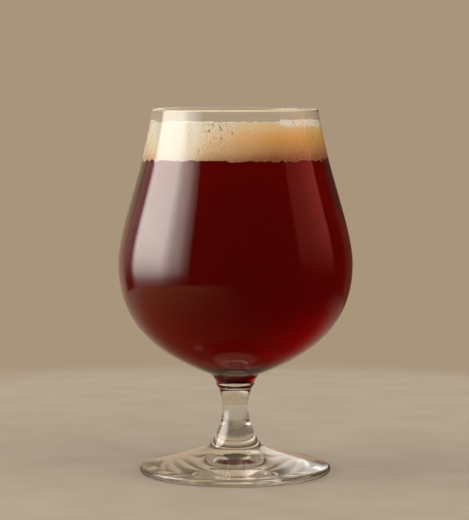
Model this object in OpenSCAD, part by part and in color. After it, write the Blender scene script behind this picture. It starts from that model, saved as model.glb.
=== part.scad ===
// Snifter glass on a short stem and a wide foot, holding dark beer under a head of foam.
// Lengths are in millimetres. The glass stands on the plane z = 0 and its axis is the z axis.
// Bowl, stem and foot are three pieces of glass that are welded end to end at two flat faces.

/* [Bowl] */
// Height of the rim above the table
glass_h = 150; // [142:0.5:165]
// Outer diameter at the rim
rim_d = 68.2; // [60:0.2:76]
// Outer diameter at the widest part of the bowl
belly_d = 96.7; // [88:0.1:106]
// Height of the widest part above the table
belly_h = 86; // [80:0.5:92]
// Thickness of the wall, the same at the rim
wall_t = 1.8; // [1.2:0.1:3]
// Glass between the weld under the bowl and the floor inside it
floor_t = 3.4; // [2:0.1:6]
// How far the floor inside stays behind the fullness of the underside
floor_inset = 4.2; // [3:0.1:8]
// Slope of the underside where it leaves the weld, in degrees
underside_slope = 21; // [14:1:30]
// Fullness of the underside
underside_pull = 19; // [15:0.5:24]
// Fullness of the side below the widest part
belly_pull_low = 27; // [20:0.5:32]
// Fullness of the side above the widest part
belly_pull_high = 15.4; // [10:0.2:22]
// Length over which the neck straightens towards the rim
neck_pull = 25.7; // [16:0.1:32]
// How far the neck leans inwards below the rim
neck_lean = 3.7; // [1:0.1:6]

/* [Stem] */
// Height of the weld between stem and bowl
weld_top_h = 40.8; // [36:0.2:46]
// Diameter of that weld
weld_top_d = 21; // [17:0.2:25]
// Smallest diameter of the stem
waist_d = 10.6; // [8:0.1:14]
// Height of the smallest diameter
waist_h = 26.8; // [22:0.2:30]
// Straightness of the stem above its smallest diameter
waist_pull_high = 7.2; // [4:0.1:10]
// Straightness of the stem below its smallest diameter
waist_pull_low = 7.6; // [4:0.1:10]
// Size of the rounded corner under the bowl
corner_top = 1.4; // [0.6:0.1:3]
// Size of the rounded corner above the foot
corner_low = 1.7; // [0.6:0.1:3]
// Distance from the weld under the bowl down to the soft ring round the stem
ring_drop = 4.3; // [3:0.1:6]
// How far the ring stands out
ring_t = 0.5; // [0.1:0.05:0.8]
// Length of the slope below the ring's crest
ring_slope_low = 1.2; // [0.6:0.1:2]
// Length of the slope above the ring's crest
ring_slope_high = 0.35; // [0.2:0.05:1]

/* [Foot] */
// Outer diameter of the foot
foot_d = 78.8; // [68:0.2:90]
// Thickness of the foot at its round edge
foot_edge_t = 3; // [2:0.1:4.4]
// Height of the weld between foot and stem
weld_low_h = 11; // [9:0.2:14]
// Diameter of that weld
weld_low_d = 22.2; // [18:0.2:26]
// Slope of the stem and the foot at that weld, in degrees
weld_low_slope = 48; // [35:1:60]
// Slope of the top of the foot at its edge, in degrees
foot_slope = 11; // [6:1:16]
// Length over which the top of the foot flattens towards its edge
foot_pull = 4; // [2:0.5:10]
// Diameter of the hollow under the foot, inside the ring that it stands on
recess_d = 66; // [50:1:70]
// Depth of that hollow
recess_h = 3.6; // [1:0.1:5]
// Roundness of that hollow, where 1 is a cone and 2 is a bowl
recess_round = 1.3; // [1:0.1:2.4]

/* [Drink] */
// Distance from the rim down to the top of the foam
headspace = 4.4; // [4.2:0.1:12]
// Thickness of the head of foam
foam_t = 15.5; // [6:0.5:24]
// Film between the drink and the glass
film_t = 0.05; // [0.02:0.01:0.1]

/* [Hidden] */
rim_r = rim_d / 2;
belly_r = belly_d / 2;
weld_top_r = weld_top_d / 2;
weld_low_r = weld_low_d / 2;
waist_r = waist_d / 2;
foot_r = foot_d / 2;
edge_r = foot_edge_t / 2;
rim_edge_h = glass_h - wall_t / 2;
floor_h = weld_top_h + floor_t;
floor_pull = weld_top_r + underside_pull * cos(underside_slope) - floor_inset;
foam_h = glass_h - headspace;
beer_h = foam_h - foam_t;
ring_h = weld_top_h - ring_drop;
curve_steps = 20;
ring_steps = 60;
arc_steps = 8;
facets = 180;

// A point at an angle and a distance
function polar(angle, length) = length * [cos(angle), sin(angle)];
// A point on the curve with two ends and two handles
function on_curve(p, t) = pow(1 - t, 3) * p[0] + 3 * t * pow(1 - t, 2) * p[1]
    + 3 * t * t * (1 - t) * p[2] + pow(t, 3) * p[3];
function curve(p, steps = curve_steps) = [for (i = [0:steps]) on_curve(p, i / steps)];
function arc(centre, r, from, to) = [for (i = [0:arc_steps])
    centre + polar(from + (to - from) * i / arc_steps, r)];
function reversed(list) = [for (i = [len(list) - 1:-1:0]) list[i]];
function without_first(list) = [for (i = [1:len(list) - 1]) list[i]];

// Corners that two pieces share
weld_top = [weld_top_r, weld_top_h];
weld_low = [weld_low_r, weld_low_h];
belly = [belly_r, belly_h];
waist = [waist_r, waist_h];

// Outside of the bowl, from the weld to the widest part and on to the rim
underside = curve([weld_top, weld_top + polar(underside_slope, underside_pull),
    belly - [0, belly_pull_low], belly]);
side_handles = [belly, belly + [0, belly_pull_high],
    [rim_r + neck_lean, glass_h - neck_pull], [rim_r, rim_edge_h]];
rim_arc = arc([rim_r - wall_t / 2, rim_edge_h], wall_t / 2, 0, 180);

// Inside of the bowl, from the floor on the axis to the rim, drawn in by an inset
function inside(inset) = concat(
    curve([[0, floor_h + inset], [floor_pull, floor_h + inset],
        belly - [wall_t + inset, belly_pull_low], belly - [wall_t + inset, 0]]),
    without_first(curve([for (p = side_handles) p - [wall_t + inset, 0]])));

// A point of the stem's side, moved out by the soft ring
function ringed(p) = let (slope = p[1] < ring_h ? ring_slope_low : ring_slope_high)
    p + [ring_t * exp(-pow((p[1] - ring_h) / slope, 2)), 0];

// Outside of the stem, from the foot to the waist and on to the bowl
stem_low = curve([weld_low, weld_low + polar(180 - weld_low_slope, corner_low),
    waist - [0, waist_pull_low], waist]);
stem_high = [for (p = curve([waist, waist + [0, waist_pull_high],
    weld_top - polar(underside_slope, corner_top), weld_top], ring_steps)) ringed(p)];

// Top of the foot, from its round edge to the weld
edge_centre = [foot_r - edge_r, edge_r];
edge_arc = arc(edge_centre, edge_r, -90, 90 - foot_slope);
edge_top = edge_centre + polar(90 - foot_slope, edge_r);
foot_top = curve([edge_top, edge_top + polar(180 - foot_slope, foot_pull),
    weld_low - polar(180 - weld_low_slope, corner_low), weld_low]);
// Hollow under the foot, deepest on the axis
recess = [for (i = [0:curve_steps])
    [recess_d / 2 * i / curve_steps, recess_h * (1 - pow(i / curve_steps, recess_round))]];

module turned(outline) {
    rotate_extrude($fn = facets) polygon(outline);
}

// The part of the bowl's inside between two heights
module drink(low, high) {
    rotate_extrude($fn = facets) intersection() {
        polygon(concat(inside(film_t), [[0, rim_edge_h]]));
        translate([0, low]) square([belly_d, high - low]);
    }
}

module bowl() {
    color([0.85, 0.92, 0.94, 0.4])
    turned(concat([[0, weld_top_h]], underside, without_first(curve(side_handles)),
        without_first(rim_arc), without_first(reversed(inside(0)))));
}

module stem() {
    color([0.78, 0.88, 0.9, 0.4])
    turned(concat([[0, weld_low_h]], stem_low, without_first(stem_high), [[0, weld_top_h]]));
}

module foot() {
    color([0.82, 0.9, 0.92, 0.4])
    turned(concat(recess, edge_arc, without_first(foot_top), [[0, weld_low_h]]));
}

module beer() {
    color([0.3, 0.03, 0.02]) drink(0, beer_h);
}

module foam_head() {
    color([0.9, 0.8, 0.62]) drink(beer_h, foam_h);
}

bowl();
stem();
foot();
beer();
foam_head();
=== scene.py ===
import math

import bpy
import numpy as np
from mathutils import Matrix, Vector


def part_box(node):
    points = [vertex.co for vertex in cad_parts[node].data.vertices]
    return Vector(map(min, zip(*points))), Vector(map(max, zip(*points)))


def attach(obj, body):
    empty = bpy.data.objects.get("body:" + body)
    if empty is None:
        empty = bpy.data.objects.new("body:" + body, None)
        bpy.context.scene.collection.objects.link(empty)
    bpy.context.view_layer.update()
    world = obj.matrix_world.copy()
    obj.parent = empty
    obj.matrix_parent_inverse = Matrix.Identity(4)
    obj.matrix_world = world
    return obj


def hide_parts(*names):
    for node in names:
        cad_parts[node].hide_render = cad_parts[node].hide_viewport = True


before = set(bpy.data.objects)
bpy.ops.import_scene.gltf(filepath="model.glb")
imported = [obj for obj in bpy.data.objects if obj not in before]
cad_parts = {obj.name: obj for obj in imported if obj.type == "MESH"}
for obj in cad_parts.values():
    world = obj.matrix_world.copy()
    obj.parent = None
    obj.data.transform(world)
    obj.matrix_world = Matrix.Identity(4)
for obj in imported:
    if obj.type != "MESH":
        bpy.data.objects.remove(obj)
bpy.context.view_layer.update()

mm = 0.001
scene = bpy.context.scene
scene.view_settings.view_transform = "Standard"
scene.cycles.max_bounces = 32  # the drink and the solid glass need long light paths
scene.cycles.transmission_bounces = 28
scene.cycles.glossy_bounces = 12
scene.cycles.transparent_max_bounces = 32
print("frame loaded:", ", ".join(sorted(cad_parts)))


class Wire:  # a socket that takes part in sums; add makes any other node
    def __init__(self, tree, socket=None):
        self.tree = tree
        self.socket = socket

    def add(self, kind, settings=None, sockets=None, out=0):
        made = self.tree.nodes.new(kind)
        for name, value in (settings or {}).items():
            if name == "stops":
                stops = made.color_ramp.elements
                while len(stops) < len(value):
                    stops.new(1.0)
                for stop, (at, colour) in zip(stops, value):
                    stop.position = at
                    stop.color = colour
            else:
                setattr(made, name, value)
        for name, value in (sockets or {}).items():
            if isinstance(value, Wire):
                self.tree.links.new(value.socket, made.inputs[name])
            else:
                made.inputs[name].default_value = value
        return Wire(self.tree, made.outputs[out] if len(made.outputs) else None)

    def maths(self, operation, *values):
        return self.add("ShaderNodeMath", {"operation": operation}, dict(enumerate(values)))

    def __add__(self, other):
        return self.maths("ADD", self, other)

    def __radd__(self, other):
        return self.maths("ADD", other, self)

    def __sub__(self, other):
        return self.maths("SUBTRACT", self, other)

    def __rsub__(self, other):
        return self.maths("SUBTRACT", other, self)

    def __mul__(self, other):
        return self.maths("MULTIPLY", self, other)

    def __rmul__(self, other):
        return self.maths("MULTIPLY", other, self)

    def most(self, other):
        return self.maths("MAXIMUM", self, other)

    def rise(self, low, high):  # 0 at low, 1 at high, smooth between
        return self.add("ShaderNodeMapRange", {"interpolation_type": "SMOOTHSTEP"},
                        {"Value": self, "From Min": low, "From Max": high})

    def counted(self):  # 1 where a count of bounces isn't 0
        return self.rise(0.0, 0.5)

    def between(self, first, second):  # first colour where this is 0, second where it is 1
        return self.add("ShaderNodeMix", {"data_type": "RGBA"}, {0: self, 6: first, 7: second}, out=2)

    def axis(self, letter):  # one coordinate of a vector
        return self.add("ShaderNodeSeparateXYZ", None, {"Vector": self}, out=letter)

    def noise(self, scale, detail):
        return self.add("ShaderNodeTexNoise", None, {"Vector": self, "Scale": scale, "Detail": detail})


def newFinish(name):
    finish = bpy.data.materials.new(name)
    finish.use_nodes = True
    finish.node_tree.nodes.clear()
    return finish, Wire(finish.node_tree)


def newThing(name, data):
    thing = bpy.data.objects.new(name, data)
    scene.collection.objects.link(thing)
    return thing


def lightPath(start, *names):  # outputs of one Light Path node
    outputs = start.add("ShaderNodeLightPath").socket.node.outputs
    return [Wire(start.tree, outputs[name]) for name in names]


def rgb(*levels):  # levels from 0 to 255, as a picture has them, as the linear colour that a socket takes
    return (*[((c / 255 + 0.055) / 1.055) ** 2.4 if c > 10 else c / 255 / 12.92 for c in levels], 1)


# Turned pieces

segments = 256  # round the axis, the same for each of them
sideFace, weldFace, innerFace = range(3)  # the order of the finishes of a piece of glass


def curve(start, startHandle, endHandle, end, steps):
    t = np.linspace(0, 1, steps + 1)[:, None]
    points = [np.array(p, float) for p in (start, startHandle, endHandle, end)]
    weights = ((1 - t) ** 3, 3 * t * (1 - t) ** 2, 3 * t * t * (1 - t), t ** 3)
    return sum(w * p for w, p in zip(weights, points))


def polar(angle, length):
    return length * np.array([math.cos(math.radians(angle)), math.sin(math.radians(angle))])


def arc(centre, radius, first, last, steps):
    return np.array([np.array(centre) + polar(a, radius) for a in np.linspace(first, last, steps + 1)])


def joined(*stretches):  # one outline, without the point that two stretches share
    return np.vstack([stretches[0]] + [s[1:] for s in stretches[1:]])


# turns an outline of (radius, height) in mm about the axis
# marks gives the steps of the outline that have another finish than the first one
def turn(name, outline, finishes, marks=None):
    marks = marks or {}
    angles = np.linspace(0, 2 * math.pi, segments, endpoint=False)
    places, rings = [], []
    for radius, height in outline:
        if radius < 1e-6:  # a point on the axis
            rings.append([len(places)])
            places.append((0, 0, height * mm))
        else:
            rings.append(list(range(len(places), len(places) + segments)))
            places += [(radius * mm * math.cos(a), radius * mm * math.sin(a), height * mm) for a in angles]
    faces, kinds = [], []
    for step, (low, high) in enumerate(zip(rings[:-1], rings[1:])):
        for i in range(segments):
            j = (i + 1) % segments
            if len(low) == 1:
                faces.append((low[0], high[j], high[i]))
            elif len(high) == 1:
                faces.append((low[i], low[j], high[0]))
            else:
                faces.append((low[i], low[j], high[j], high[i]))
            kinds.append(marks.get(step, sideFace))
    mesh = bpy.data.meshes.new(name)
    mesh.from_pydata(places, [], faces)
    mesh.polygons.foreach_set("use_smooth", [True] * len(faces))
    mesh.polygons.foreach_set("material_index", kinds)
    for finish in finishes:
        mesh.materials.append(finish)
    welds = [step for step, kind in marks.items() if kind == weldFace]
    ends = {v for step in welds for ring in rings[step:step + 2] if len(ring) > 1 for v in ring}
    for edge in mesh.edges:  # the weld's rim keeps the side's own shading
        if edge.vertices[0] in ends and edge.vertices[1] in ends:
            edge.use_edge_sharp = True
    mesh.update()
    return newThing(name, mesh)


def place(piece, node):
    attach(piece, "root")
    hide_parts(node)
    print("made", piece.name, len(piece.data.polygons), "faces")


bowlLow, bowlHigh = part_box("bowl")
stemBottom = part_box("stem")[0].z / mm
footLow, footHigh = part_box("foot")
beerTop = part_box("beer")[1].z / mm
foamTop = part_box("foam_head")[1].z / mm

# Glass finishes

glassLook = {"tint": (0.985, 0.995, 0.99, 1), "ior": 1.52}
beerLook = {"ior": 1.345, "absorbs": (22.5, 80, 110), "clear": 0.955, "haze": (0.9, 0.04, 0.02, 1)}


def clearGlass(name, ripple, scale, ior=glassLook["ior"], roughness=0.0, tint=glassLook["tint"]):
    finish, start = newFinish(name)
    swell = start.add("ShaderNodeTexCoord", out="Object").noise(scale, 1.0)
    bump = start.add("ShaderNodeBump", None, {"Strength": 1.0, "Distance": ripple * mm, "Height": swell})
    surface = start.add("ShaderNodeBsdfPrincipled", None, {
        "Base Color": tint, "Roughness": roughness, "IOR": ior, "Transmission Weight": 1.0, "Normal": bump})
    start.add("ShaderNodeOutputMaterial", None, {"Surface": surface})
    return finish


weldFinish, start = newFinish("weld inside the glass")
start.add("ShaderNodeOutputMaterial", None, {"Surface": start.add("ShaderNodeBsdfTransparent")})

# Bowl

bowlShape = {"wall": 1.8, "floor": 3.4, "floorInset": 4.2, "slope": 21, "underPull": 19, "lowPull": 27,
             "highPull": 15.4, "neckPull": 25.7, "neckLean": 3.7, "bellyHeight": 86.0,
             "rim": 34.1, "weld": 10.5, "wetAbove": 2, "steps": 56, "rimSteps": 14}
rimHeight = bowlHigh.z / mm
halfWall = bowlShape["wall"] / 2
rimEdge = rimHeight - halfWall
weldTop = np.array([bowlShape["weld"], bowlLow.z / mm])
belly = np.array([(bowlHigh.x - bowlLow.x) / 2 / mm, bowlShape["bellyHeight"]])
floorHeight = weldTop[1] + bowlShape["floor"]
underHandle = weldTop + polar(bowlShape["slope"], bowlShape["underPull"])


def upperSide(inset, steps):
    neck = [bowlShape["rim"] + bowlShape["neckLean"], rimHeight - bowlShape["neckPull"]]
    handles = (belly, belly + [0, bowlShape["highPull"]], neck, [bowlShape["rim"], rimEdge])
    return curve(*[np.array(p) - [inset, 0] for p in handles], steps)


def inside(inset, steps):  # from the floor on the axis to the rim, drawn in by an inset
    wall = bowlShape["wall"] + inset
    lower = curve([0, floorHeight + inset], [underHandle[0] - bowlShape["floorInset"], floorHeight + inset],
                  belly - [wall, bowlShape["lowPull"]], belly - [wall, 0], steps)
    return joined(lower, upperSide(wall, steps))


underside = curve(weldTop, underHandle, belly - [0, bowlShape["lowPull"]], belly, bowlShape["steps"])
rimArc = arc([bowlShape["rim"] - halfWall, rimEdge], halfWall, 0, 180, bowlShape["rimSteps"])
insideLine = inside(0, bowlShape["steps"])[::-1]
outsideLine = joined([[0, weldTop[1]], weldTop], underside, upperSide(0, bowlShape["steps"]))
bowlOutline = joined(outsideLine, rimArc, insideLine)
insideStart = len(bowlOutline) - len(insideLine)
wetTop = beerTop + bowlShape["wetAbove"]  # the foam hides where the wet faces end
wetSteps = {k: innerFace for k in range(insideStart, len(bowlOutline) - 1) if bowlOutline[k][1] < wetTop}
bowlGlass = [clearGlass("blown clear glass", ripple=0.02, scale=60), weldFinish,
             clearGlass("glass against the drink", ripple=0.02, scale=60,
                        ior=glassLook["ior"] / beerLook["ior"])]
bowl = turn("bowl_glass", bowlOutline, bowlGlass, {0: weldFace, **wetSteps})
place(bowl, "bowl")

# Stem

stemShape = {"waist": 5.3, "waistHeight": 26.8, "highPull": 7.2, "lowPull": 7.6, "cornerTop": 1.4,
             "cornerLow": 1.7, "weld": 11.1, "weldSlope": 48, "ringDrop": 4.3, "ringProud": 0.5,
             "ringSlopes": (1.2, 0.35), "highSteps": 260, "lowSteps": 40}
weldLow = np.array([stemShape["weld"], stemBottom])
waist = np.array([stemShape["waist"], stemShape["waistHeight"]])
lowDirection = polar(180 - stemShape["weldSlope"], stemShape["cornerLow"])
stemLow = curve(weldLow, weldLow + lowDirection,
                waist - [0, stemShape["lowPull"]], waist, stemShape["lowSteps"])
stemHigh = curve(waist, waist + [0, stemShape["highPull"]],
                 weldTop - polar(bowlShape["slope"], stemShape["cornerTop"]), weldTop, stemShape["highSteps"])
# a soft ring stands where the stem was drawn from the bowl
fromRing = stemHigh[:, 1] - (weldTop[1] - stemShape["ringDrop"])
ringSlope = np.where(fromRing < 0, *stemShape["ringSlopes"])
stemHigh[:, 0] += stemShape["ringProud"] * np.exp(-(fromRing / ringSlope) ** 2)
stemOutline = joined([[0, weldLow[1]], weldLow], stemLow, stemHigh, [weldTop, [0, weldTop[1]]])
stemGlass = [clearGlass("drawn clear glass", ripple=0.01, scale=90), weldFinish]
stem = turn("stem_glass", stemOutline, stemGlass, {0: weldFace, len(stemOutline) - 2: weldFace})
place(stem, "stem")

# Foot

footShape = {"edge": 1.5, "slope": 11, "pull": 4.0, "recess": 33.0, "recessDepth": 3.6, "recessPower": 1.3,
             "edgeSteps": 24, "recessSteps": 40, "topSteps": 48}
footLook = {"roughness": 0.06, "tint": (0.88, 0.87, 0.85, 1)}  # of the underside; its grey tint is painted shade, darkening the floor seen beneath the foot
footRadius = (footHigh.x - footLow.x) / 2 / mm
edgeCentre = np.array([footRadius - footShape["edge"], footShape["edge"]])
edgeArc = arc(edgeCentre, footShape["edge"], -90, 90 - footShape["slope"], footShape["edgeSteps"])
recess = np.array([[footShape["recess"] * t, footShape["recessDepth"] * (1 - t ** footShape["recessPower"])]
                   for t in np.linspace(0, 1, footShape["recessSteps"] + 1)])
edgeHandle = edgeArc[-1] + polar(180 - footShape["slope"], footShape["pull"])
footTop = curve(edgeArc[-1], edgeHandle, weldLow - lowDirection, weldLow, footShape["topSteps"])
footOutline = joined(recess, [recess[-1], edgeArc[0]], edgeArc, footTop, [weldLow, [0, weldLow[1]]])
footGlass = [clearGlass("pressed clear glass", ripple=0.02, scale=70), weldFinish,
             clearGlass("pressed underside", ripple=0.03, scale=120, **footLook)]
foot = turn("foot_glass", footOutline, footGlass,
            {len(footOutline) - 2: weldFace, **{k: innerFace for k in range(len(recess))}})
place(foot, "foot")

# Beer

beerShape = {"overlap": 0.12, "steps": 72, "wallSteps": 160, "topStep": 0.2}
beerFinish, start = newFinish("dark red beer")
strongest = max(beerLook["absorbs"])
absorption = start.add("ShaderNodeVolumeAbsorption", None, {
    "Color": (*[1 - a / strongest for a in beerLook["absorbs"]], 1), "Density": float(strongest)})
surface = start.add("ShaderNodeBsdfPrincipled", None, {
    "Base Color": beerLook["haze"], "Roughness": 0.0, "IOR": 1.0, "Transmission Weight": beerLook["clear"]})
start.add("ShaderNodeOutputMaterial", None, {"Surface": surface, "Volume": absorption})
wallLine = inside(0, beerShape["wallSteps"])


def wallRadius(height):  # of the bowl's inside
    return np.interp(height, wallLine[:, 1], wallLine[:, 0])


wetWall = inside(-beerShape["overlap"], beerShape["steps"])
wetWall = wetWall[wetWall[:, 1] < beerTop - beerShape["topStep"]]
beerEdge = [wallRadius(beerTop) + beerShape["overlap"], beerTop]
beerOutline = joined(wetWall, [wetWall[-1], beerEdge], [[0, 0], [0, beerTop]])
beer = turn("red_beer", beerOutline, [beerFinish])
place(beer, "beer")

# Foam head

foamShape = {
    "seed": 11, "around": 720, "rows": 46, "edgeRings": 16, "middleRings": 76, "ringEnds": (1, 0.86, 0.008),
    "sink": 0.5, "press": 0.16,  # into the beer, and past the inside of the glass
    "edgeDrop": 0.65, "middleDrop": 0.7, "backDrop": 2.3, "topReach": 33,  # below the solid's flat top
    "edgePower": 8, "creepPower": 40,
    "lowWaves": {"orders": range(3, 110, 4), "falloff": 0.45, "size": 0.22},
    "topWaves": {"orders": range(4, 60, 3), "falloff": 0.7, "size": 0.2},
    "drips": {"count": 90, "wide": (0.6, 1.8), "long": (0.2, 0.6)},
    "cling": [(-33, 26, 1.5), (48, 17, 7), (128, 30, 9), (-172, 15, 6)],  # centre, half and taper, in degrees
    "creep": 1.25, "clingDepth": 3.9, "clingFade": 2.2}
sideBubbles = {"count": 1500, "size": 0.12, "spread": 0.5, "largest": 0.40, "loose": 6,
               "low": 0.8, "high": 0.6, "groups": 5, "firstGroup": -104, "groupSpread": 10, "groupHalf": 17,
               "radius": 36, "stretch": 1.8, "depth": 0.9, "deepest": 0.5}
topBubbles = {"count": 900, "size": 0.42, "spread": 0.55, "limits": (0.34, 1.5), "reach": 34.5,
              "raised": 0.65, "lift": 0.5, "edgeFade": 12, "pit": 0.25, "coarse": 0.25}
rng = np.random.default_rng(foamShape["seed"])


def waves(angles, orders, falloff, size):  # a smooth wavy line round the axis
    parts = [(n, rng.uniform(0, 2 * math.pi), rng.normal() / n ** falloff) for n in orders]
    return size * sum(np.sin(n * angles + p) * a for n, p, a in parts)


def turnFrom(angles, centre):  # angle away from a direction, in degrees
    return np.abs((np.degrees(angles) - centre + 180) % 360 - 180)


around = np.linspace(0, 2 * math.pi, foamShape["around"], endpoint=False)
lowLine = beerTop - foamShape["sink"] + waves(around, **foamShape["lowWaves"])
for _ in range(foamShape["drips"]["count"]):  # small drops of foam that hang into the beer
    at = rng.uniform(-180, 180)
    wide = rng.uniform(*foamShape["drips"]["wide"])
    long = rng.uniform(*foamShape["drips"]["long"])
    lowLine = lowLine - long * np.exp(-(turnFrom(around, at) / wide) ** 2)
# the head is lowest at the back, and stands higher in the stretches where dry foam clings to the glass
backward = (1 + np.sin(around)) / 2
dryArc = np.zeros_like(around)
for at, half, taper in foamShape["cling"]:
    dryArc = np.maximum(dryArc, np.clip((half - turnFrom(around, at)) / taper, 0, 1))
creep = foamShape["creep"] * dryArc
topLine = foamTop - foamShape["edgeDrop"] - foamShape["backDrop"] * backward + creep
topLine = topLine + waves(around, **foamShape["topWaves"])
share = np.linspace(0, 1, foamShape["rows"])[:, None]
sideHeight = lowLine + (topLine - lowLine) * share
wallSide = wallRadius(sideHeight) + foamShape["press"]

pits = np.zeros_like(sideHeight)
groups = [sideBubbles["firstGroup"] + 360 * k / sideBubbles["groups"] for k in range(sideBubbles["groups"])]
coarseArc = sum(np.exp(-(turnFrom(around, at) / sideBubbles["groupHalf"]) ** 2) for at in groups)
for k in range(sideBubbles["count"]):  # bubbles that stand against the glass, most of them in loose groups
    size = min(sideBubbles["size"] * math.exp(rng.normal() * sideBubbles["spread"]), sideBubbles["largest"])
    if k % sideBubbles["loose"] == 0:
        at = rng.uniform(-180, 180)
    else:
        at = groups[k % len(groups)] + rng.normal() * sideBubbles["groupSpread"]
    height = rng.uniform(beerTop + sideBubbles["low"], foamTop - sideBubbles["high"])
    across = np.radians(turnFrom(around, at)) * sideBubbles["radius"]
    away = across ** 2 + ((sideHeight - height) / sideBubbles["stretch"]) ** 2
    pits = np.maximum(pits, np.sqrt(np.clip(size ** 2 - away, 0, None)))
sideRadius = wallSide - sideBubbles["depth"] * pits

rim, inner, middle = foamShape["ringEnds"]
rings = np.concatenate([np.linspace(rim, inner, foamShape["edgeRings"])[1:],
                        np.linspace(inner, middle, foamShape["middleRings"])[1:]])[:, None]
topRadius = rings * wallSide[-1]
topX = topRadius * np.cos(around)
topY = topRadius * np.sin(around)
tilt = foamShape["backDrop"] * (1 + topY / foamShape["topReach"]) / 2
flatHeight = foamTop - foamShape["middleDrop"] - tilt
topHeight = flatHeight + (topLine - creep - flatHeight[0]) * rings ** foamShape["edgePower"]
topHeight = topHeight + creep * rings ** foamShape["creepPower"]
domes = np.zeros_like(topRadius)
for _ in range(topBubbles["count"]):  # domes and burst bubbles
    size = np.clip(topBubbles["size"] * math.exp(rng.normal() * topBubbles["spread"]), *topBubbles["limits"])
    outward = topBubbles["reach"] * math.sqrt(rng.uniform())
    at = rng.uniform(0, 2 * math.pi)
    away = (topX - outward * math.cos(at)) ** 2 + (topY - outward * math.sin(at)) ** 2
    sign = 1 if rng.uniform() < topBubbles["raised"] else -1
    dome = np.sqrt(np.clip(size ** 2 - away, 0, None)) * topBubbles["lift"]
    domes = np.where(dome > np.abs(domes), sign * dome, domes)
topHeight = topHeight + domes * np.clip((1 - rings) * topBubbles["edgeFade"], 0, 1)

rows = [np.stack([r * np.cos(around), r * np.sin(around), z], 1)
        for r, z in [*zip(sideRadius, sideHeight), *zip(topRadius, topHeight)]]
bottomPoint = [0, 0, beerTop - foamShape["sink"]]
topPoint = [0, 0, topHeight[-1].mean()]
places = np.vstack([[bottomPoint], *rows, [topPoint]]) * mm
count = foamShape["around"]
lastRow = 1 + (len(rows) - 1) * count
faces = []
for i in range(count):
    j = (i + 1) % count
    faces.append((0, 1 + j, 1 + i))
    for low in range(1, lastRow, count):
        faces.append((low + i, low + j, low + count + j, low + count + i))
    faces.append((lastRow + i, lastRow + j, len(places) - 1))
foamMesh = bpy.data.meshes.new("foam_head")
foamMesh.from_pydata(places.tolist(), [], faces)
foamMesh.polygons.foreach_set("use_smooth", [True] * len(faces))


def pointValue(name, side, top):  # a number at each point of the foam's side and top
    values = np.concatenate([[0], side.ravel(), top.ravel(), [0]])
    foamMesh.attributes.new(name, "FLOAT", "POINT").data.foreach_set("value", values.astype(np.float32))


burst = np.clip(-domes / sideBubbles["deepest"], 0, 1)
pointValue("pit", np.clip(pits / sideBubbles["deepest"], 0, 1), topBubbles["pit"] * burst)
dryShare = np.clip((sideHeight - topLine + foamShape["clingDepth"]) / foamShape["clingFade"], 0, 1)
pointValue("cling", dryArc * dryShare, np.zeros_like(topRadius))
topCoarse = topBubbles["coarse"] + (coarseArc - topBubbles["coarse"]) * rings ** foamShape["creepPower"]
pointValue("coarse", np.tile(coarseArc, foamShape["rows"]), topCoarse)

foamLook = {
    "dryAndLit": [(0.0, (226, 190, 150)), (0.2, (246, 228, 192)), (0.6, (251, 243, 224)), (1.0, (252, 248, 240))],
    "wetAndShaded": [(0.0, (160, 98, 60)), (0.2, (206, 150, 92)), (0.55, (240, 188, 106)), (0.8, (246, 216, 160)),
            (1.0, (244, 222, 190))],
    "pit": (182, 144, 72), "cell": (224, 182, 112), "cling": (254, 247, 234), "reflectionShade": (220, 211, 192),
    "top": [(236, 214, 172), (248, 234, 206)], "under": (52, 14, 8),
    "mottle": 260.0, "patches": 45.0, "streaks": 420.0, "cells": 1100.0, "fineCells": 3200.0,  # noise scales
    "soakedAndShadedLimits": (-0.6, 0.45), "paintedShadeAcross": 30,  # the right side is painted darker and more tan, as painted shade away from the light on the left
    "reflectionShadeLeft": (-0.0325, -0.0285), "reflectionShadeRight": (-0.013, -0.019), "reflectionShadeFront": (0.0, -0.012),
    "clingShare": 0.85, "reflectionShadeShare": 0.9, "pitShare": 0.85, "bump": 0.2, "scatter": 4}
foamFinish, start = newFinish("cream beer foam")
where = start.add("ShaderNodeTexCoord", out="Object")
sideways = where.axis("X")
mottle = where.noise(foamLook["mottle"], 3.0)
patches = where.noise(foamLook["patches"], 1.0)
headShare = (where.axis("Z") - beerTop * mm) * (1 / ((foamTop - beerTop) * mm))
level = headShare + (mottle - 0.5) * 0.2
# two ramps of foam colour, each more amber towards the drink: the dry, lit one for the left, and the wet one
# that is also painted shade for the right
dryAndLit, wetAndShaded = [start.add("ShaderNodeValToRGB", {"stops": [(at, rgb(*c)) for at, c in foamLook[kind]]},
                      {"Fac": level}) for kind in ("dryAndLit", "wetAndShaded")]
pit, cling, coarse = [start.add("ShaderNodeAttribute", {"attribute_name": name}, out="Fac")
                      for name in ("pit", "cling", "coarse")]
# painted shade: the foam takes the wet, shaded colours towards the right, away from the light, and also in
# random patches
soakedAndShaded = (sideways * foamLook["paintedShadeAcross"] + patches - 0.5).rise(*foamLook["soakedAndShadedLimits"])
stretched = start.add("ShaderNodeVectorMath", {"operation": "MULTIPLY"}, {0: where, 1: (1, 1, 0.25)})
streaks = stretched.noise(foamLook["streaks"], 2.0)
clinging = (cling + (streaks - 0.5) * 1.1).rise(0.2, 0.8) * foamLook["clingShare"]
cells, fineCells = [start.add("ShaderNodeTexVoronoi", None, {"Vector": where, "Scale": foamLook[kind]})
                    for kind in ("cells", "fineCells")]
hollow = (1 - cells.rise(0.1, 0.6)) * (coarse * 0.5 + 0.12)
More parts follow.
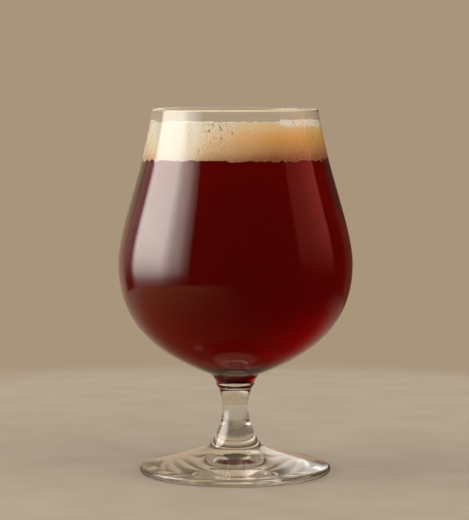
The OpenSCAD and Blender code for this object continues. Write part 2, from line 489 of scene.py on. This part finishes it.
# painted shade: the foam's front left, where the window's reflection lies over it, is painted greyer and
# darker
reflectionShade = sideways.rise(*foamLook["reflectionShadeLeft"]) * sideways.rise(*foamLook["reflectionShadeRight"])
reflectionShade = reflectionShade * where.axis("Y").rise(*foamLook["reflectionShadeFront"])
upward = start.add("ShaderNodeNewGeometry", out="True Normal").axis("Z")
skin = patches.rise(0.3, 0.7).between(*[rgb(*c) for c in foamLook["top"]])
colour = clinging.between(soakedAndShaded.between(dryAndLit, wetAndShaded), rgb(*foamLook["cling"]))
colour = (reflectionShade * foamLook["reflectionShadeShare"]).between(colour, rgb(*foamLook["reflectionShade"]))
colour = upward.rise(0.6, 0.9).between(colour, skin)
colour = hollow.between(colour, rgb(*foamLook["cell"]))
colour = (pit.rise(0.0, 0.7) * foamLook["pitShare"]).between(colour, rgb(*foamLook["pit"]))
# painted shade: the foam's downward faces, over the drink, are painted dark brown
colour = upward.rise(-0.4, -0.8).between(colour, rgb(*foamLook["under"]))
bubbleHeight = cells * 0.7 + fineCells * 0.3
bump = start.add("ShaderNodeBump", None, {
    "Strength": 0.5, "Distance": foamLook["bump"] * mm, "Height": bubbleHeight})
surface = start.add("ShaderNodeBsdfPrincipled", None, {
    "Base Color": colour, "Roughness": 0.5 + mottle * 0.3, "IOR": 1.33, "Normal": bump,
    "Subsurface Weight": 0.4, "Subsurface Radius": (1.0, 0.7, 0.45),
    "Subsurface Scale": foamLook["scatter"] * mm})
start.add("ShaderNodeOutputMaterial", None, {"Surface": surface})
foamMesh.materials.append(foamFinish)
foam = newThing("foam_head_bubbles", foamMesh)
place(foam, "foam_head")

# Floor: a plain round table top that ends softly in the backdrop

floorLook = {"radius": 0.45, "corners": 96, "height": -0.0003, "edge": (0.30, 0.38), "grain": 35.0,
             "dark": (185, 172, 153), "light": (192, 179, 161),
             "litMirror": (165, 138, 92), "litBowl": (198, 164, 116), "darkMirror": (32, 24, 18),
             "litFrom": (0.08, -0.30), "plainBack": (0.0, 0.12), "plainLeft": (0.30, -0.02),
             "underStem": (0.020, 0.012)}
floorFinish, start = newFinish("pale table top")
where = start.add("ShaderNodeTexCoord", out="Object")
reach = start.add("ShaderNodeVectorMath", {"operation": "LENGTH"}, {0: where}, out="Value")
sideways = where.axis("X")
grain = where.noise(floorLook["grain"], 4.0)
tone = grain.rise(0.3, 0.7).between(rgb(*floorLook["dark"]), rgb(*floorLook["light"]))
top = start.add("ShaderNodeBsdfPrincipled", None, {
    "Base Color": tone, "Roughness": 0.75, "Specular IOR Level": 0.2})
# the lit side of the table shows in the glass, and the far side of it stays dark there
mirrors, passes = [depth.counted() for depth in lightPath(start, "Glossy Depth", "Transmission Depth")]
mirrored = mirrors * (1 - passes * reach.rise(*floorLook["underStem"]))
litTone = passes.between(rgb(*floorLook["litBowl"]), rgb(*floorLook["litMirror"]))
mirrorTone = sideways.rise(*floorLook["litFrom"]).between(rgb(*floorLook["darkMirror"]), litTone)
plain = where.axis("Y").rise(*floorLook["plainBack"]) * sideways.rise(*floorLook["plainLeft"])
mirrorTone = plain.between(mirrorTone, tone)
inGlass = start.add("ShaderNodeBsdfDiffuse", None, {"Color": mirrorTone})
surface = start.add("ShaderNodeMixShader", None, {0: mirrored, 1: top, 2: inGlass})
fromBelow = start.add("ShaderNodeNewGeometry", out="Backfacing")
gone = reach.rise(*floorLook["edge"]).most(fromBelow)
surface = start.add("ShaderNodeMixShader", None, {
    0: gone, 1: surface, 2: start.add("ShaderNodeBsdfTransparent")})
start.add("ShaderNodeOutputMaterial", None, {"Surface": surface})
corners = floorLook["corners"]
edge = [(floorLook["radius"] * math.cos(a), floorLook["radius"] * math.sin(a), floorLook["height"])
        for a in np.linspace(0, 2 * math.pi, corners, endpoint=False)]
floorMesh = bpy.data.meshes.new("table_top")
floorMesh.from_pydata(edge, [], [tuple(range(corners))])
floorMesh.materials.append(floorFinish)
floor = newThing("table_top", floorMesh)
print("floor:", floor.name)

# World: soft fill for rough surfaces, the backdrop for everything that looks through or past the glass

worldLook = {"backdrop": (169, 149, 124), "lit": (1.0, 0.95, 0.88, 1), "rightRoom": (0.55, 0.22, 0.13, 1),
             "fill": 0.42, "below": 0.5, "dark": 0.03, "above": 0.35, "litSpread": (0.86, 0.95),
             "horizon": (-0.1, 0.1), "backdropTop": (0.1, 0.4),
             "backWall": (0.66, 0.80), "wallGlow": 0.2, "leftGlow": 1.2, "leftEnd": (-0.05, 0.25),
             "leftLight": {"from": (-0.93, -0.20, 0.31), "spread": (0.70, 0.96), "glow": 2.15},
             "rightLight": {"from": (0.74, -0.64, 0.20), "spread": (0.40, 0.95), "glow": 1.6},
             "backLight": {"from": (0.15, 0.92, 0.36), "spread": (0.966, 0.994), "glow": 1.4}}
world = bpy.data.worlds.new("studio")
scene.world = world
world.use_nodes = True
world.node_tree.nodes.clear()
start = Wire(world.node_tree)
direction = start.add("ShaderNodeTexCoord", out="Generated")
upward = direction.axis("Z")


def lobe(light, spread=None):  # 1 towards a light, 0 outside its spread
    towards = start.add("ShaderNodeVectorMath", {"operation": "DOT_PRODUCT"},
                        {0: direction, 1: light["from"]}, out="Value")
    return towards.rise(*(spread or light["spread"]))


fromCamera, through, glossy, diffuse = lightPath(
    start, "Is Camera Ray", "Is Transmission Ray", "Is Glossy Ray", "Diffuse Depth")
direct = 1 - diffuse.counted()
seen = fromCamera.most(through) * direct
mirrored = glossy * (1 - through) * direct
above = upward.rise(*worldLook["horizon"])
fill = (above * (1 - worldLook["below"]) + worldLook["below"]) * worldLook["fill"]
for light in (worldLook["leftLight"], worldLook["rightLight"]):
    fill = fill + lobe(light) * light["glow"]
onLeft = 1 - direction.axis("X").rise(*worldLook["leftEnd"])
wall = direction.axis("Y").rise(*worldLook["backWall"])
room = wall * (onLeft * worldLook["leftGlow"] + worldLook["wallGlow"]) + worldLook["dark"]
backGlow = lobe(worldLook["backLight"])
mirrorColour = onLeft.between(worldLook["rightRoom"], rgb(*worldLook["backdrop"]))
mirrorColour = backGlow.between(mirrorColour, worldLook["lit"])
mirrorGlow = room.most(backGlow * worldLook["backLight"]["glow"])
litSide = lobe(worldLook["leftLight"], worldLook["litSpread"]) * through
seenColour = litSide.between(rgb(*worldLook["backdrop"]), worldLook["lit"])
seenGlow = upward.rise(*worldLook["backdropTop"]) * worldLook["above"] + 1.0
fillLight, seenLight, mirrorLight = [
    start.add("ShaderNodeBackground", None, {"Color": colour, "Strength": glow})
    for colour, glow in ((worldLook["lit"], fill), (seenColour, seenGlow), (mirrorColour, mirrorGlow))]
shown = start.add("ShaderNodeMixShader", None, {0: seen, 1: fillLight, 2: seenLight})
shown = start.add("ShaderNodeMixShader", None, {0: mirrored, 1: shown, 2: mirrorLight})
start.add("ShaderNodeOutputWorld", None, {"Surface": shown})
print("world:", world.name)

# Lamps: panels whose glow changes across them, from one end to the other, and from low to high

lamps = {
    "left_window": {"at": (-0.62, -0.01, 0.27), "size": (1.30, 0.86), "glow": 10.1, "tint": (1.0, 0.93, 0.85),
                    "across": [(0, 0), (0.05, 0.045), (0.23, 0.045), (0.31, 0.7), (0.42, 0.82), (0.53, 0.96),
                               (0.62, 1), (0.67, 0.74), (0.731, 0.46), (0.808, 0.345), (0.885, 0.14), (1, 0)],
                    "along": [(0, 0), (0.12, 0.08), (0.15, 0.13), (0.226, 0.5), (0.346, 0.82), (0.465, 1),
                              (0.884, 1), (1, 0)],
                    "shows": "mirror"},
    "right_window": {"at": (0.62, -0.04, 0.225), "size": (0.54, 0.65), "glow": 1.5, "tint": (1.0, 0.20, 0.14),
                     "across": [(0, 0), (0.07, 0.46), (0.2, 0.48), (0.39, 0.59), (0.61, 0.83), (0.815, 0.99),
                                (0.926, 1), (1, 0)],
                     "along": [(0, 0), (0.108, 0), (0.23, 0.1), (0.385, 0.41), (0.538, 0.75), (0.66, 0.95),
                               (0.77, 1), (0.95, 1), (1, 0)],
                     "shows": "mirror", "only": bowl},
    "back_window": {"at": (-0.36, 0.66, 0.45), "size": (0.70, 0.60), "glow": 0.5, "tint": (1.0, 0.92, 0.84),
                    "across": [(0, 0), (0.4, 1), (0.6, 1), (1, 0)],
                    "along": [(0, 0), (0.4, 1), (0.6, 1), (1, 0)],
                    "shows": "light"},
}
for name, lamp in lamps.items():
    data = bpy.data.lights.new(name, "AREA")
    data.shape = "RECTANGLE"
    data.size, data.size_y = lamp["size"]
    data.energy = lamp["glow"] * math.pi * data.size * data.size_y
    data.color = lamp["tint"]
    data.use_nodes = True
    data.node_tree.nodes.clear()
    start = Wire(data.node_tree)
    spot = start.add("ShaderNodeNewGeometry", out="Parametric")
    levels = []
    for letter, profile in (("X", lamp["across"]), ("Y", lamp["along"])):
        stops = [(at, (v, v, v, 1)) for at, v in profile]
        levels.append(start.add("ShaderNodeValToRGB", {"stops": stops}, {"Fac": spot.axis(letter)}))
    glow = start.add("ShaderNodeEmission", None, {"Strength": levels[0] * levels[1]})
    start.add("ShaderNodeOutputLight", None, {"Surface": glow})
    panel = newThing(name, data)
    panel.location = lamp["at"]
    aim = Vector((0, 0, lamp["at"][2])) - Vector(lamp["at"])
    panel.rotation_euler = aim.to_track_quat("-Z", "Y").to_euler()
    panel.visible_camera = False
    panel.visible_glossy = lamp["shows"] == "mirror"
    panel.visible_diffuse = lamp["shows"] == "light"
    panel.visible_transmission = lamp["shows"] == "light"
    if "only" in lamp:  # this lamp shows in one piece alone
        receivers = bpy.data.collections.new("lit by " + name)
        receivers.objects.link(lamp["only"])
        panel.light_linking.receiver_collection = receivers
print("lamps:", ", ".join(lamps))

# Camera: the photograph's frame is 469 by 520 pixels, and the lens counts along its height

cameraView = {"focal": 2440.0, "frameHeight": 520, "pitch": 4.556, "distance": 1.001, "height": 0.1675,
              "side": -0.0003}
lens = bpy.data.cameras.new("camera")
lens.sensor_width = 36.0
lens.lens = cameraView["focal"] * lens.sensor_width / cameraView["frameHeight"]
camera = newThing("camera", lens)
camera.location = (cameraView["side"], -cameraView["distance"], cameraView["height"])
camera.rotation_euler = (math.radians(90 - cameraView["pitch"]), 0, 0)
scene.camera = camera
print("camera: lens", round(lens.lens, 1), "mm")
